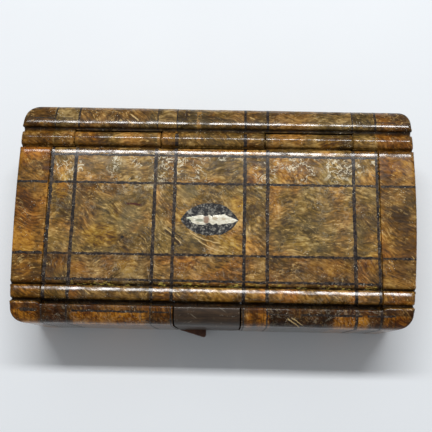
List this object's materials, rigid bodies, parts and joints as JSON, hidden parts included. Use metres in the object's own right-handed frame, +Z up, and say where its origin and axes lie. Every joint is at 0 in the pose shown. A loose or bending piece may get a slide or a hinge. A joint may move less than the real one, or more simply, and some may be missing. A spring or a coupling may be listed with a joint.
{
  "type": "snuff box",
  "caption": "Rectangular pocket snuff box in burr wood: hollow body, hinged lid between end blocks, moulded long edges, black stringing and a bone lozenge on a dark oval.",
  "frame": {"origin": "middle of the underside", "axes": "+X along the box to its right end, +Y to the hinge, +Z up through the lid"},
  "size_m": [0.087, 0.0509, 0.021],
  "materials": {
    "burr_wood": "aged glossy varnish over amber-brown burr",
    "dark_wood": "varnished dark straight grain",
    "black_inlay": "ebonised, worn and speckled",
    "bone": "worn satin",
    "pin_wire": "dull drawn wire"
  },
  "bodies": {
    "box": {"box_body": "burr_wood", "front_block": "dark_wood", "hinge_pin": "pin_wire", "front_stringing_left": "black_inlay", "front_stringing_right": "black_inlay", "rear_stringing": "black_inlay", "left_end_string_rear": "black_inlay", "left_end_string_front": "black_inlay", "right_end_string_rear": "black_inlay", "right_end_string_front": "black_inlay"},
    "lid": {"lid": "burr_wood", "lid_stringing": "black_inlay", "plaque": "black_inlay", "bone_lozenge": "bone"}
  },
  "joints": [
    {"name": "lid_hinge", "type": "hinge", "parent": "box", "child": "lid", "pos_m": [0, 0.01657, 0.01922], "axis": [-1, 0, 0], "range_deg": [0, 115]}
  ]
}
